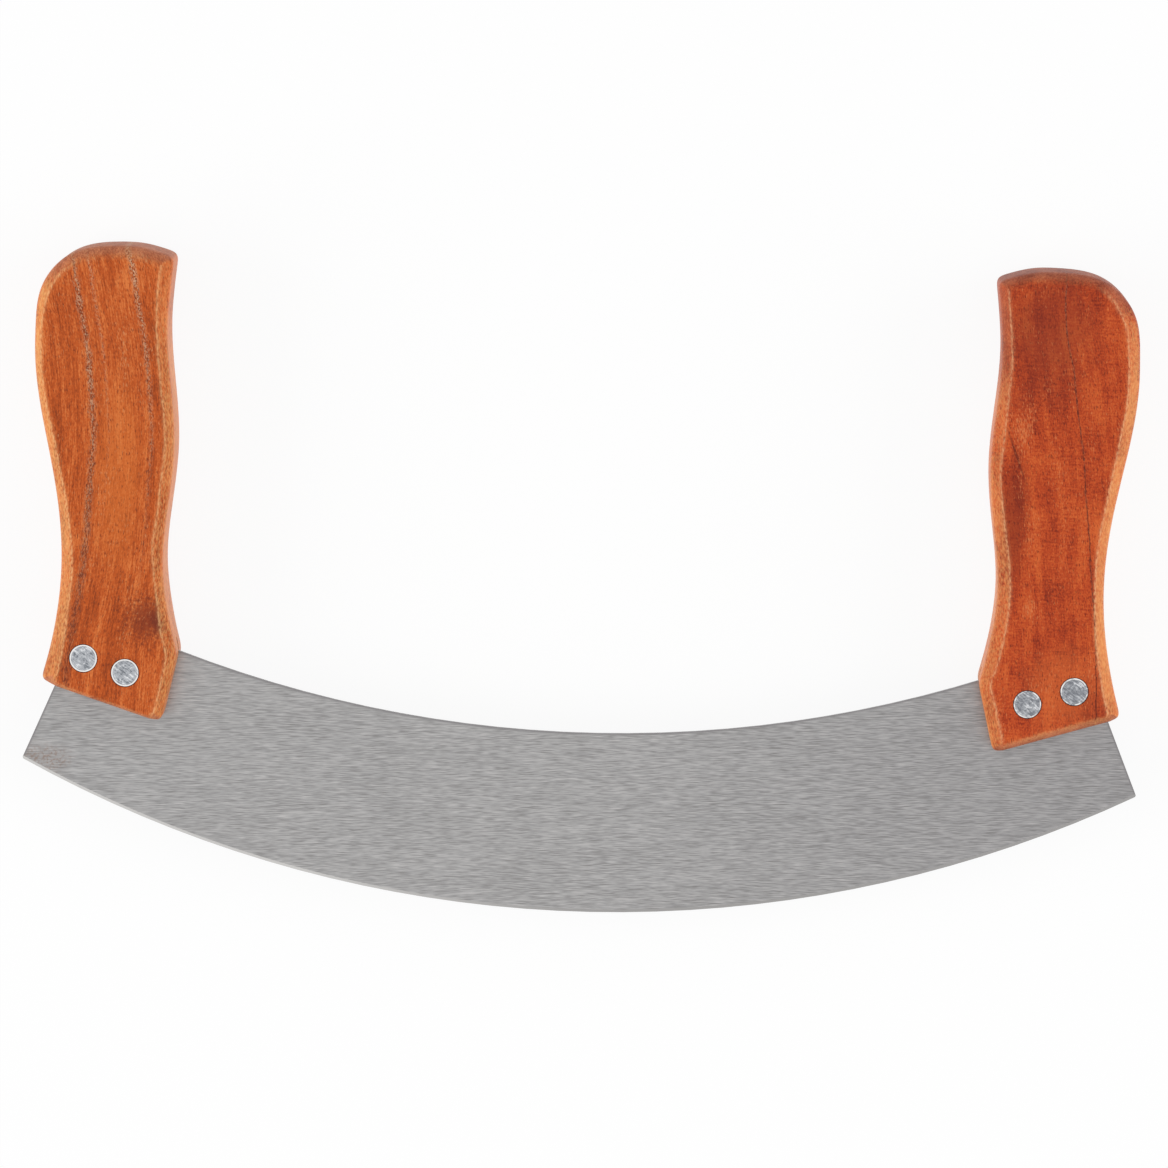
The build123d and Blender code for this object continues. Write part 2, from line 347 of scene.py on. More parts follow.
def turned(rings, centre):
    """A closed solid turned on an upright axis, from (radius, height) pairs that run from top to bottom."""
    turns = [2 * math.pi * k / TURNED_SIDES for k in range(TURNED_SIDES)]
    spots = [(centre.x + r * math.cos(a), centre.y + r * math.sin(a), z) for r, z in rings for a in turns]
    faces = [range(TURNED_SIDES), range(len(spots) - 1, len(spots) - 1 - TURNED_SIDES, -1)]
    for ring in range(0, len(spots) - TURNED_SIDES, TURNED_SIDES):
        for k in range(TURNED_SIDES):
            a, b = ring + k, ring + (k + 1) % TURNED_SIDES
            faces.append((a, a + TURNED_SIDES, b + TURNED_SIDES, b))
    return spots, faces


def ramp(values, start, span):
    """0 up to a start, then rising to 1 over a span."""
    return np.clip((values - start) / span, 0, 1)


def shape_grip(side):
    """One handle, on the outline, the kerf and the rivets of its CAD node."""
    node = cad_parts[f"{side}_handle"]
    low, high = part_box(f"{side}_handle")
    middle = (low.z + high.z) / 2
    heads = [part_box(f"{side}_{row}_rivet_tube") for row in ("outer", "inner")]
    outer, inner = [sum(head, Vector()) / 2 for head in heads]
    row = (inner - outer).xy.normalized()
    up = Vector((-row.y, row.x)) * math.copysign(1, row.x)
    outline = level_outline(node, (middle + high.z) / 2)
    along = np.roll(outline, -1, 0) - np.roll(outline, 1, 0)
    along /= np.linalg.norm(along, axis=1)[:, None]
    outward = np.stack([along[:, 1], -along[:, 0]], 1)

    # Widths of the bevels all round, on the front and on the back
    share = (outline[:, 1] - low.y) / (high.y - low.y)
    on_outside = outward[:, 0] * (outer.x - inner.x) > 0
    widths = np.where(on_outside, np.interp(share, *zip(*OUTER_BEVELS[side])),
                      np.interp(share, *zip(*INNER_BEVELS[side])))
    widths += (TOP_BEVELS[side] - widths) * ramp(outward[:, 1], *TOP_BEVEL_TURN)
    widths = np.where(outward @ np.array(up) < FOOT_FACING, FOOT_BEVELS[side], widths)
    softness = ARRIS_SOFTNESS + (TOP_SOFTNESS - ARRIS_SOFTNESS) * ramp(outward[:, 1], *TOP_SOFTNESS_TURN)
    fronts, backs = [
        widths + BEVEL_WAVER * np.array([noise.noise((*spot / BEVEL_WAVE_LENGTH, seed)) for spot in outline])
        for seed in WAVER_SEEDS]

    # Both faces in plan: a mesh whose lines follow the bevels
    tangent = SIDE_ROUNDING * (1 - math.cos(math.radians(45)))
    rim, _ = inset(outline, outward, np.full(len(outline), tangent))
    spots, boundary = np.unique(rim.round(8), axis=0, return_inverse=True)
    boundary = boundary.ravel()
    loop = [int(spot) for spot, last in zip(boundary, np.roll(boundary, 1)) if spot != last]
    levels = [tangent + (fronts - tangent) * step / BEVEL_STEPS for step in range(1, BEVEL_STEPS + 1)]
    levels += [np.maximum(fronts, tangent) + beyond for beyond in (POINT_SPACING, TOP_SOFTNESS)]
    lines = []
    for step, depths in enumerate(levels, 1):
        line, sound = inset(outline, outward, depths, POINT_SPACING / 4)
        wide = fronts - tangent > (POINT_SPACING / 2 if step == BEVEL_STEPS else 2 * POINT_SPACING)
        lines.append(line[sound & (wide | (step > BEVEL_STEPS))])
    columns = np.arange(low.x, high.x, FACE_SPACING)
    rows = np.arange(low.y, high.y, FACE_SPACING)
    grid = np.stack(np.meshgrid(columns, rows), -1).reshape(-1, 2)
    grid = grid[past_bevels(grid, outline, fronts)[0] > TOP_SOFTNESS + POINT_SPACING]
    plan = [Vector(spot) for spot in np.vstack([spots, *lines, grid])]
    edges = list(zip(loop, loop[1:] + loop[:1]))
    plan, _, triangles, _, _, _ = delaunay_2d_cdt(plan, edges, [], 1, TOUCHING / 10)
    plan = np.array([spot[:] for spot in plan])

    # The two faces, and the rounded sides between them
    corners = [np.column_stack([plan, high.z + fall(plan, outline, fronts, softness)]),
               np.column_stack([plan, low.z - fall(plan, outline, backs, softness)])]
    faces = [tuple(face) for face in triangles]
    faces += [tuple(len(plan) + k for k in reversed(face)) for face in triangles]
    tops = high.z + fall(rim, outline, fronts, softness)
    bottoms = low.z - fall(rim, outline, backs, softness)
    turns = [math.radians(angle) for angle in (45, 30, 15, 0)]
    bends = [(SIDE_ROUNDING * (1 - math.cos(a)), SIDE_ROUNDING * (math.sin(turns[0]) - math.sin(a)))
             for a in turns]
    walls = [(depth, tops - drop) for depth, drop in bends]
    walls += [(depth, bottoms + drop) for depth, drop in reversed(bends)]
    for depth, heights in walls:
        ring, _ = inset(outline, outward, np.full(len(outline), depth))
        corners.append(np.column_stack([ring, heights]))
    start, count = 2 * len(plan), len(outline)
    for ring in range(start, start + count * (len(walls) - 1), count):
        for k in range(count):
            a, b = ring + k, ring + (k + 1) % count
            faces.append((a, a + count, b + count, b))
    piece = new_piece(f"{side}_grip", np.vstack(corners), faces)
    clean = bmesh.new()
    clean.from_mesh(piece.data)
    bmesh.ops.remove_doubles(clean, verts=clean.verts, dist=TOUCHING)
    bmesh.ops.dissolve_degenerate(clean, edges=clean.edges, dist=TOUCHING)
    bmesh.ops.delete(clean, geom=[v for v in clean.verts if not v.link_faces], context="VERTS")
    clean.to_mesh(piece.data)
    clean.free()

    # The kerf, and the bores and recesses of the rivets
    blade_low, blade_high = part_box("blade")
    half_kerf = (blade_high.z - blade_low.z) / 2 + KERF_GAP
    row_middle = (outer + inner).xy / 2
    rise = max((v.co.xy - row_middle).dot(up) for v in node.data.vertices
               if abs(abs(v.co.z - middle) - half_kerf) < TOUCHING)
    reach = high.x - low.x
    mouth = [(-reach, -reach), (reach, -reach), (reach, rise), (-reach, rise)]
    slot = [(*(row_middle + row * x + up * y), middle + z) for z in (-half_kerf, half_kerf) for x, y in mouth]
    sides = [(3, 2, 1, 0), (4, 5, 6, 7), (0, 1, 5, 4), (1, 2, 6, 5), (2, 3, 7, 6), (3, 0, 4, 7)]
    cut_away(piece, slot, sides if row.x > 0 else [face[::-1] for face in sides])
    for head_low, head_high in heads:
        recess = (head_high.x - head_low.x) / 2 + RECESS_GAP
        rings = [(recess, high.z + RECESS_DEPTH), (recess, high.z - RECESS_DEPTH),
                 (BORE_RADIUS, high.z - RECESS_DEPTH), (BORE_RADIUS, low.z + RECESS_DEPTH),
                 (recess, low.z + RECESS_DEPTH), (recess, low.z - RECESS_DEPTH)]
        cut_away(piece, *turned(rings, (head_low + head_high) / 2))

    # Where the belt has left the stain thin, where a highlight is painted along the edge between bevel and
    # face, and where end grain shows
    places = np.array([v.co[:] for v in piece.data.vertices])
    front, nearest = past_bevels(places[:, :2], outline, fronts)
    back, _ = past_bevels(places[:, :2], outline, backs)
    inside = np.where(places[:, 2] > middle, front, back)
    depth = inside + np.where(places[:, 2] > middle, fronts[nearest], backs[nearest])
    sanded = np.clip(0.5 - inside / (2 * softness[nearest]), 0, 1)
    height = (places[:, 1] - low.y) / (high.y - low.y)
    across_grain = ramp(np.abs(outward[nearest, 1]), *END_GRAIN_TURN)
    curved = np.where(on_outside[nearest], 0, CURVED_GRAIN[side] * ramp(height, *CURVED_GRAIN_RISE))
    across_grain = np.maximum(across_grain, curved)
    inner_share = np.interp(height, *zip(*INNER_SANDING[side]))
    share = np.where(on_outside[nearest], np.interp(height, *zip(*OUTER_SANDING[side])), inner_share)
    share += (TOP_SANDING - share) * ramp(outward[nearest, 1], *TOP_SANDING_TURN)
    share += (SIDE_SANDING[side] * inner_share - share) * np.clip(1 - depth / tangent, 0, 1)
    # A highlight is painted along the edge between bevel and face, on the sides of the grip and not on its
    # ends
    arris_highlight_share = 1 - ramp(np.abs(outward[nearest, 1]), *ARRIS_HIGHLIGHT_TURN)
    wear = {"sanded": sanded * share, "painted_arris_highlight": (1 - np.abs(2 * sanded - 1)) * arris_highlight_share,
            "end_grain": sanded * across_grain * (1 - 0.65 * ramp(depth, 0, fronts[nearest]))}
    for name, values in wear.items():
        piece.data.attributes.new(name, "FLOAT", "POINT").data.foreach_set("value", values)
    piece.data.shade_smooth()
    piece.data.set_sharp_from_angle(angle=SHARP_ANGLE)
    return piece


# Stained and oiled hardwood: long fibres, short open pores and blotches in warm browns under a low satin
# gloss, paler and speckled where the belt has cut through the stain, duller on end grain
# Along the arrises the colour carries a painted highlight
GRAIN_SPAN = (-0.04, 0.08)
BEND_SPAN = 0.02
# How far the grain bends across the grip, at heights along it
GRAIN_BENDS = {
    "left": [(-0.035, -0.0050), (-0.016, -0.0038), (-0.0065, -0.0022), (0.0064, -0.0008), (0.0215, 0),
             (0.0306, 0.0004), (0.0387, 0), (0.0535, -0.0016), (0.061, -0.0031), (0.071, -0.0049),
             (0.077, -0.0065)],
    "right": [(-0.025, 0.0034), (-0.0035, 0.0022), (0.008, 0.0009), (0.017, 0.0001), (0.025, -0.0009),
              (0.034, -0.0017), (0.045, -0.00355), (0.054, -0.0048), (0.0666, -0.00715)]}
# Layers of the grain: size across, along and through the grip, and share of the tone
GRAIN_LAYERS = {
    "left": [((0.006, 0.028, 0.006), 0.40), ((0.0016, 0.040, 0.003), 0.40), ((0.00032, 0.005, 0.0005), 0.60),
             ((0.0003, 0.0006, 0.0003), 0.45)],
    "right": [((0.007, 0.012, 0.006), 0.58), ((0.0020, 0.030, 0.003), 0.45),
              ((0.00035, 0.0025, 0.0005), 0.30), ((0.0026, 0.0005, 0.001), 0.30),
              ((0.00035, 0.0005, 0.00035), 0.55)]}
# Sizes of the rest of the figure, in the same order
ROW_WAVER_SIZE = (0.0010, 0.004, 0.001)
PORE_SIZE = (0.00024, 0.0013, 0.0004)
DUST_SIZE = (0.00022, 0.0005, 0.0003)
FLECK_SIZE = (0.00026, 0.0012, 0.0005)
FLECK_CLUSTER_SIZE = (0.004, 0.012, 0.004)
SPECKLE_SIZE = (0.00045, 0.0010, 0.00045)
BLOTCH_SIZE = (0.005, 0.014, 0.005)
GRAIN_DEPTH = 0.00008
WOOD_ROUGHNESS = (0.42, 0.55)  # under the oil, and on end grain
WOOD_TONES = {"left": ("8C3A12", "BC541E", "DA7A3E"), "right": ("82250E", "B5441B", "CF612C")}
FLECKS = {"left": "D9925F", "right": "D98250"}
DUST = {"left": "DDB08C", "right": "D99A78"}
PORES = {"left": "6A2A14", "right": "5E1D0E"}
SANDED_WOOD = {"left": "E8A966", "right": "E2985A"}
SANDING_SPECKLE = 0.45
# Painted highlight along the edge between bevel and face
ARRIS_PAINTED_HIGHLIGHT = {"left": "F0B67E", "right": "EBAF80"}
END_GRAIN = {"left": ("8A4630", "C98260"), "right": ("7A3826", "B06A50")}
# Oval spots in the grain: middle, half sizes, raggedness, its grit, turn, strength and colour
SPOTS = {
    "left": [((-0.1085, 0.023, 0.020), (0.008, 0.030, 0.012), 0.5, 0.4, 0.0, 0.45, "D06E2E"),
             ((-0.1008, -0.0105, 0.020), (0.0074, 0.0080, 0.006), 2.0, 0.09, 0.0, 0.75, "7A3018"),
             ((-0.0984, -0.0112, 0.020), (0.0026, 0.0042, 0.006), 1.0, 0.3, 0.5, 0.85, "6E2A18")],
    "right": [((0.0987, 0.0195, 0.020), (0.0046, 0.020, 0.010), 0.8, 0.4, 0.0, 0.60, "7E2A12"),
              ((0.1050, 0.0630, 0.020), (0.0150, 0.022, 0.010), 1.0, 0.4, 0.0, 0.52, "7C2A18"),
              ((0.1120, -0.0200, 0.020), (0.0130, 0.014, 0.010), 0.8, 0.4, 0.0, 0.45, "CC6430"),
              ((0.0988, 0.0342, 0.020), (0.00045, 0.0095, 0.004), 0.6, 0.4, 0.36, 0.75, "5E1D0E")]}
# Clusters of pale flecks: middle and half sizes
FLECKED = {
    "left": [((-0.1040, 0.0738, 0.018), (0.0042, 0.0030, 0.006)),
             ((-0.1075, 0.0480, 0.020), (0.0016, 0.016, 0.006))],
    "right": [((0.1030, -0.0010, 0.020), (0.0042, 0.0034, 0.006)),
              ((0.1000, 0.0420, 0.020), (0.0050, 0.010, 0.006))]}
CLUSTER_STRENGTH = 0.11
# Rows of open pores along the grain: place across, then half widths, strengths and paleness, each at the
# foot and at the top
PORE_ROWS = {
    "left": [(-0.1148, (0.0015, 0.0008), (0.9, 1.0), (0.1, 1.1)),
             (-0.1013, (0.0006, 0.0011), (0.0, 1.1), (0.0, 1.2)),
             (-0.1112, (0.0002, 0.0008), (0.0, 0.35), (0.0, 2.0))],
    "right": [(0.1160, (0.00028, 0.00028), (1.4, 1.4), (0.0, 0.2))]}
PORE_ROW_TINT = {"left": "7E3E20", "right": "8E3A1E"}


def stain_wood(piece, side):
    """Gives a handle its wood."""
    wood, tree, place = new_material(f"stained_oiled_hardwood_{side}")
    parts = add(tree, "ShaderNodeSeparateXYZ", {0: place}).outputs
    low, high = GRAIN_SPAN
    share = add(tree, "ShaderNodeMapRange", {
        "Value": parts["Y"], "From Min": low, "From Max": high}).outputs[0]
    bends = [((y - low) / (high - low), 0.5 + x / BEND_SPAN) for y, x in GRAIN_BENDS[side]]
    bends = [(0, bends[0][1]), *bends, (1, bends[-1][1])]
    bent = add(tree, "ShaderNodeFloatCurve", {"Value": share}, points=bends).outputs[0]
    shift = add(tree, "ShaderNodeMath", {0: bent, 1: -BEND_SPAN, 2: BEND_SPAN / 2},
                operation="MULTIPLY_ADD").outputs[0]
    across = add(tree, "ShaderNodeMath", {0: parts["X"], 1: shift}).outputs[0]
    along = add(tree, "ShaderNodeCombineXYZ", {"X": across, "Y": parts["Y"], "Z": parts["Z"]}).outputs[0]

    # The tone of the grain, and its spots
    tone = 0.5 - sum(weight for _, weight in GRAIN_LAYERS[side]) / 2
    for number, (size, weight) in enumerate(GRAIN_LAYERS[side]):
        layer = grain(tree, along, size, detail=3, seed=number + 10 * len(side))
        tone = add(tree, "ShaderNodeMath", {0: layer, 1: weight, 2: tone},
                   operation="MULTIPLY_ADD").outputs[0]
    stops = list(zip((0.30, 0.5, 0.70), WOOD_TONES[side]))
    colour = add(tree, "ShaderNodeValToRGB", {"Fac": tone}, stops=stops).outputs[0]
    for middle, size, ragged, grit, turn, strength, code in SPOTS[side]:
        spot = patch(tree, place, middle, size, ragged, grit, turn)
        spot = add(tree, "ShaderNodeMath", {0: spot, 1: strength}, operation="MULTIPLY").outputs[0]
        colour = add(tree, "ShaderNodeMix", {0: spot, 6: colour, 7: srgb(code)}, data_type="RGBA").outputs[2]

    # Open pores, many in a row and few elsewhere, and the pale dust and oil in them
    ragged = grain(tree, along, ROW_WAVER_SIZE, detail=3, seed=5)
    open_pores = grain(tree, along, PORE_SIZE, seed=8)
    dust = grain(tree, along, DUST_SIZE, seed=9)
    rows, dusted = 0, 0
    for middle, widths, strengths, paleness in PORE_ROWS[side]:
        far = add(tree, "ShaderNodeMath", {0: across, 1: middle}, operation="SUBTRACT").outputs[0]
        far = add(tree, "ShaderNodeMath", {0: ragged, 1: widths[0] * 1.5, 2: far},
                  operation="MULTIPLY_ADD").outputs[0]
        far = add(tree, "ShaderNodeMath", {0: far, 1: widths[0] * 0.75}, operation="SUBTRACT").outputs[0]
        far = add(tree, "ShaderNodeMath", {0: far}, operation="ABSOLUTE").outputs[0]
        width, strength, pale = [add(tree, "ShaderNodeMapRange", {
            "Value": share, "From Min": 0.2, "To Min": foot, "To Max": top}).outputs[0]
            for foot, top in (widths, strengths, paleness)]
        row = add(tree, "ShaderNodeMapRange", {"Value": far, "From Min": width, "From Max": 0}).outputs[0]
        row = add(tree, "ShaderNodeMath", {0: row, 1: strength}, operation="MULTIPLY").outputs[0]
        rows = add(tree, "ShaderNodeMath", {0: rows, 1: row}).outputs[0]
        dusted = add(tree, "ShaderNodeMath", {0: pale, 1: row, 2: dusted},
                     operation="MULTIPLY_ADD").outputs[0]
    tint = add(tree, "ShaderNodeMath", {0: rows, 1: 0.4}, operation="MULTIPLY").outputs[0]
    colour = add(tree, "ShaderNodeMix", {0: tint, 6: colour, 7: srgb(PORE_ROW_TINT[side])},
                 data_type="RGBA").outputs[2]
    pores = add(tree, "ShaderNodeMath", {0: rows, 1: -0.17, 2: open_pores},
                operation="MULTIPLY_ADD").outputs[0]
    pores = add(tree, "ShaderNodeMapRange", {
        "Value": pores, "From Min": 0.42, "From Max": 0.30, "To Max": 0.85}).outputs[0]
    colour = add(tree, "ShaderNodeMix", {0: pores, 6: colour, 7: srgb(PORES[side])},
                 data_type="RGBA").outputs[2]
    clusters = grain(tree, along, FLECK_CLUSTER_SIZE, detail=1, seed=11)
    flecks = grain(tree, along, FLECK_SIZE, seed=7)
    flecks = add(tree, "ShaderNodeMath", {0: clusters, 1: 0.35, 2: flecks},
                 operation="MULTIPLY_ADD").outputs[0]
    for middle, size in FLECKED[side]:
        cluster = patch(tree, place, middle, size)
        flecks = add(tree, "ShaderNodeMath", {0: cluster, 1: CLUSTER_STRENGTH, 2: flecks},
                     operation="MULTIPLY_ADD").outputs[0]
    flecks = add(tree, "ShaderNodeMapRange", {
        "Value": flecks, "From Min": 0.80, "From Max": 0.92, "To Max": 0.6}).outputs[0]
    dust = add(tree, "ShaderNodeMapRange", {
        "Value": dust, "From Min": 0.47, "From Max": 0.60, "To Max": 0.85}).outputs[0]
    dust = add(tree, "ShaderNodeMath", {0: dust, 1: dusted}, operation="MULTIPLY").outputs[0]
    colour = add(tree, "ShaderNodeMix", {0: flecks, 6: colour, 7: srgb(FLECKS[side])},
                 data_type="RGBA").outputs[2]
    colour = add(tree, "ShaderNodeMix", {0: dust, 6: colour, 7: srgb(DUST[side])},
                 data_type="RGBA").outputs[2]

    # Thinner stain on the bevels, end grain, and a painted highlight along their arrises
    speckle = grain(tree, along, SPECKLE_SIZE, detail=3, seed=12)
    speckle = add(tree, "ShaderNodeMapRange", {
        "Value": speckle, "From Min": 0.36, "From Max": 0.64, "To Min": -0.5, "To Max": 0.5}).outputs[0]
    blotches = grain(tree, along, BLOTCH_SIZE, seed=13)
    blotches = add(tree, "ShaderNodeMapRange", {
        "Value": blotches, "From Min": 0.35, "From Max": 0.65, "To Min": 0.75, "To Max": 1.25}).outputs[0]
    thin = add(tree, "ShaderNodeAttribute", attribute_name="sanded").outputs["Fac"]
    touched = add(tree, "ShaderNodeMath", {0: thin, 1: 4}, operation="MULTIPLY", use_clamp=True).outputs[0]
    specks = add(tree, "ShaderNodeMath", {0: touched, 1: SANDING_SPECKLE}, operation="MULTIPLY").outputs[0]
    thin = add(tree, "ShaderNodeMath", {0: thin, 1: blotches}, operation="MULTIPLY").outputs[0]
    thin = add(tree, "ShaderNodeMath", {0: speckle, 1: specks, 2: thin},
               operation="MULTIPLY_ADD", use_clamp=True).outputs[0]
    colour = add(tree, "ShaderNodeMix", {0: thin, 6: colour, 7: srgb(SANDED_WOOD[side])},
                 data_type="RGBA").outputs[2]
    ends = add(tree, "ShaderNodeAttribute", attribute_name="end_grain").outputs["Fac"]
    closed = add(tree, "ShaderNodeMapRange", {"Value": rows, "To Min": 0.85, "To Max": 0.35}).outputs[0]
    ends = add(tree, "ShaderNodeMath", {0: ends, 1: closed}, operation="MULTIPLY").outputs[0]
    stops = list(zip((0.3, 0.7), END_GRAIN[side]))
    streaks = add(tree, "ShaderNodeValToRGB", {"Fac": tone}, stops=stops).outputs[0]
    colour = add(tree, "ShaderNodeMix", {0: ends, 6: colour, 7: streaks}, data_type="RGBA").outputs[2]
    # Painted highlight along the arrises, broken up by the speckle
    arris_highlight_share = add(tree, "ShaderNodeMath", {0: speckle, 1: 0.6, 2: 0.42}, operation="MULTIPLY_ADD").outputs[0]
    painted_arris_highlight = add(tree, "ShaderNodeAttribute", attribute_name="painted_arris_highlight").outputs["Fac"]
    painted_arris_highlight = add(tree, "ShaderNodeMath", {0: painted_arris_highlight, 1: arris_highlight_share}, operation="MULTIPLY").outputs[0]
    colour = add(tree, "ShaderNodeMix", {0: painted_arris_highlight, 6: colour, 7: srgb(ARRIS_PAINTED_HIGHLIGHT[side])},
                 data_type="RGBA").outputs[2]

    finish = add(tree, "ShaderNodeMapRange", {
        "Value": ends, "To Min": WOOD_ROUGHNESS[0], "To Max": WOOD_ROUGHNESS[1]}).outputs[0]
    height = add(tree, "ShaderNodeMath", {0: pores, 1: -0.6, 2: tone}, operation="MULTIPLY_ADD").outputs[0]
    bump = add(tree, "ShaderNodeBump", {
        "Height": height, "Strength": 0.3, "Distance": GRAIN_DEPTH}).outputs[0]
    surface = add(tree, "ShaderNodeBsdfPrincipled", {
        "Base Color": colour, "Roughness": finish, "Specular IOR Level": 0.22, "Normal": bump})
    add(tree, "ShaderNodeOutputMaterial", {"Surface": surface.outputs[0]})
    piece.data.materials.clear()
    piece.data.materials.append(wood)


for side in ("left", "right"):
    grip = shape_grip(side)
    stain_wood(grip, side)
    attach(grip, "root")
    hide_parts(f"{side}_handle")

# The rivets: two through each foot and the blade, each a turned aluminium tube with a head, and a pin with a
# head that is pressed into it from the back. Pressing leaves the heads slightly dished inside a rim, with
# shallow marks. The rim carries a painted highlight, and the marks painted shade and glints.
HEAD_RIM = 0.00032
RIM_RADIUS = 0.0029
HEAD_DISH = 0.00006  # depth inside the rim
HEAD_ROUND = 0.00012  # of the outer edge
HEAD_THICKNESS = 0.0010
TUBE_RADIUS = 0.0020
TUBE_BORE_RADIUS = 0.0015
PIN_RADIUS = 0.00148
HEAD_SIDES = 72
HEAD_RINGS = 14
MARK_SIZE = 0.0018
# Streaks of painted glint across the heads
STROKE_SIZE = (0.0025, 0.00048, 0.0025)
STROKE_TURN = math.radians(-38)
MARK_DEPTH = 0.00007
RING_SPACING = 0.00022  # left by the turning tool, drawn coarse enough to show
RIM_HIGHLIGHT_GAP_SIZE = 0.0014  # of the gaps in the rim's painted highlight
PRESSED_DEPTH = 0.00003
MARK_SEED_STEP = 3.7  # from one rivet half to the next
RING_SHARE, MARK_SHARE, STROKE_SHARE = 0.2, 0.4, 0.4  # of the tone
# Painted shade in the marks' hollows, through the metal's grey, up to painted glints on their crests
ALUMINIUM_GREYS_PAINTED_SHADE_AND_GLINTS = ((0.40, "767A80"), (0.475, "A9ACB1"), (0.54, "BBBEC2"), (0.61, "EAEBED"))
ALUMINIUM_ROUGHNESS = (0.26, 0.42)
# Painted highlight round the rim of each head
RIM_PAINTED_HIGHLIGHT = "F2F0EE"
TARNISH = "76787E"  # of the right pair, deepest in the marks

# Turned and pressed aluminium: fine rings round the middle under a painted highlight round the edge, press
# marks drawn in painted shade and glints, a cooler grey than the steel
aluminium, tree, place = new_material("turned_pressed_aluminium")
radius = add(tree, "ShaderNodeAttribute", attribute_name="turned_radius").outputs["Fac"]
level = add(tree, "ShaderNodeMath", {0: radius, 1: 1 / RING_SPACING}, operation="MULTIPLY").outputs[0]
level = add(tree, "ShaderNodeCombineXYZ", {"X": level}).outputs[0]
rings = add(tree, "ShaderNodeTexNoise", {"Vector": level, "Scale": 1, "Detail": 2}).outputs["Fac"]
marks = grain(tree, place, [MARK_SIZE] * 3, detail=3, swirl=2.2)
glint_streaks = grain(tree, place, STROKE_SIZE, STROKE_TURN, swirl=0.9, seed=6)
# The marks and the glint streaks are painted into the colour as shade and glints, in place of light on their
# relief
tone = add(tree, "ShaderNodeMath", {0: rings, 1: RING_SHARE}, operation="MULTIPLY").outputs[0]
tone = add(tree, "ShaderNodeMath", {0: marks, 1: MARK_SHARE, 2: tone}, operation="MULTIPLY_ADD").outputs[0]
tone = add(tree, "ShaderNodeMath", {0: glint_streaks, 1: STROKE_SHARE, 2: tone},
           operation="MULTIPLY_ADD").outputs[0]
colour = add(tree, "ShaderNodeValToRGB", {"Fac": tone}, stops=ALUMINIUM_GREYS_PAINTED_SHADE_AND_GLINTS).outputs[0]
on_right = add(tree, "ShaderNodeSeparateXYZ", {0: place}).outputs["X"]
on_right = add(tree, "ShaderNodeMath", {0: on_right, 1: 0}, operation="GREATER_THAN").outputs[0]
tarnished = add(tree, "ShaderNodeMapRange", {
    "Value": tone, "From Min": 0.42, "From Max": 0.58, "To Min": 0.75, "To Max": 0.2}).outputs[0]
tarnished = add(tree, "ShaderNodeMath", {0: on_right, 1: tarnished}, operation="MULTIPLY").outputs[0]
colour = add(tree, "ShaderNodeMix", {0: tarnished, 6: colour, 7: srgb(TARNISH)}, data_type="RGBA").outputs[2]
# Gaps in the rim's painted highlight, more of them on the right pair
worn = grain(tree, place, [RIM_HIGHLIGHT_GAP_SIZE] * 3, seed=4)
worn = add(tree, "ShaderNodeMath", {0: on_right, 1: -0.2, 2: worn}, operation="MULTIPLY_ADD").outputs[0]
worn = add(tree, "ShaderNodeMapRange", {"Value": worn, "From Min": 0.22, "From Max": 0.38}).outputs[0]
# Painted highlight round the rim
rim = add(tree, "ShaderNodeMapRange", {
    "Value": radius, "From Min": RIM_RADIUS - 0.0001, "From Max": RIM_RADIUS + 0.00005}).outputs[0]
rim = add(tree, "ShaderNodeMath", {0: rim, 1: worn}, operation="MULTIPLY").outputs[0]
colour = add(tree, "ShaderNodeMix", {0: rim, 6: colour, 7: srgb(RIM_PAINTED_HIGHLIGHT)}, data_type="RGBA").outputs[2]
finish = add(tree, "ShaderNodeMapRange", {
    "Value": marks, "From Min": 0.35, "From Max": 0.65,
    "To Min": ALUMINIUM_ROUGHNESS[0], "To Max": ALUMINIUM_ROUGHNESS[1]}).outputs[0]
height = add(tree, "ShaderNodeMath", {0: marks, 1: 3, 2: rings}, operation="MULTIPLY_ADD").outputs[0]
bump = add(tree, "ShaderNodeBump", {"Height": height, "Strength": 0.35, "Distance": PRESSED_DEPTH}).outputs[0]
surface = add(tree, "ShaderNodeBsdfPrincipled", {
    "Base Color": colour, "Metallic": 1, "Roughness": finish, "Normal": bump})
add(tree, "ShaderNodeOutputMaterial", {"Surface": surface.outputs[0]})

# One tree turns every rivet half: its profile runs from the middle of the head to the end of the shank
half_rivet = bpy.data.node_groups.new("half_rivet", "GeometryNodeTree")
half_rivet.interface.new_socket("Geometry", in_out="OUTPUT", socket_type="NodeSocketGeometry")
kinds = {"Head radius": "Float", "Shank radius": "Float", "Shank length": "Float", "Bore radius": "Float",
         "Bore depth": "Float", "Turn": "Float", "Mark seed": "Float", "Place": "Vector", "Metal": "Material"}
sizes = {}
for name, kind in kinds.items():
    socket = half_rivet.interface.new_socket(name, in_out="INPUT", socket_type=f"NodeSocket{kind}")
    sizes[name] = socket.identifier
given = add(half_rivet, "NodeGroupInput").outputs
head_radius, shank_radius = given["Head radius"], given["Shank radius"]
shank_end = add(half_rivet, "ShaderNodeMath", {0: given["Shank length"], 1: HEAD_THICKNESS}).outputs[0]
bore_end = add(half_rivet, "ShaderNodeMath", {0: shank_end, 1: given["Bore depth"]},
               operation="SUBTRACT").outputs[0]
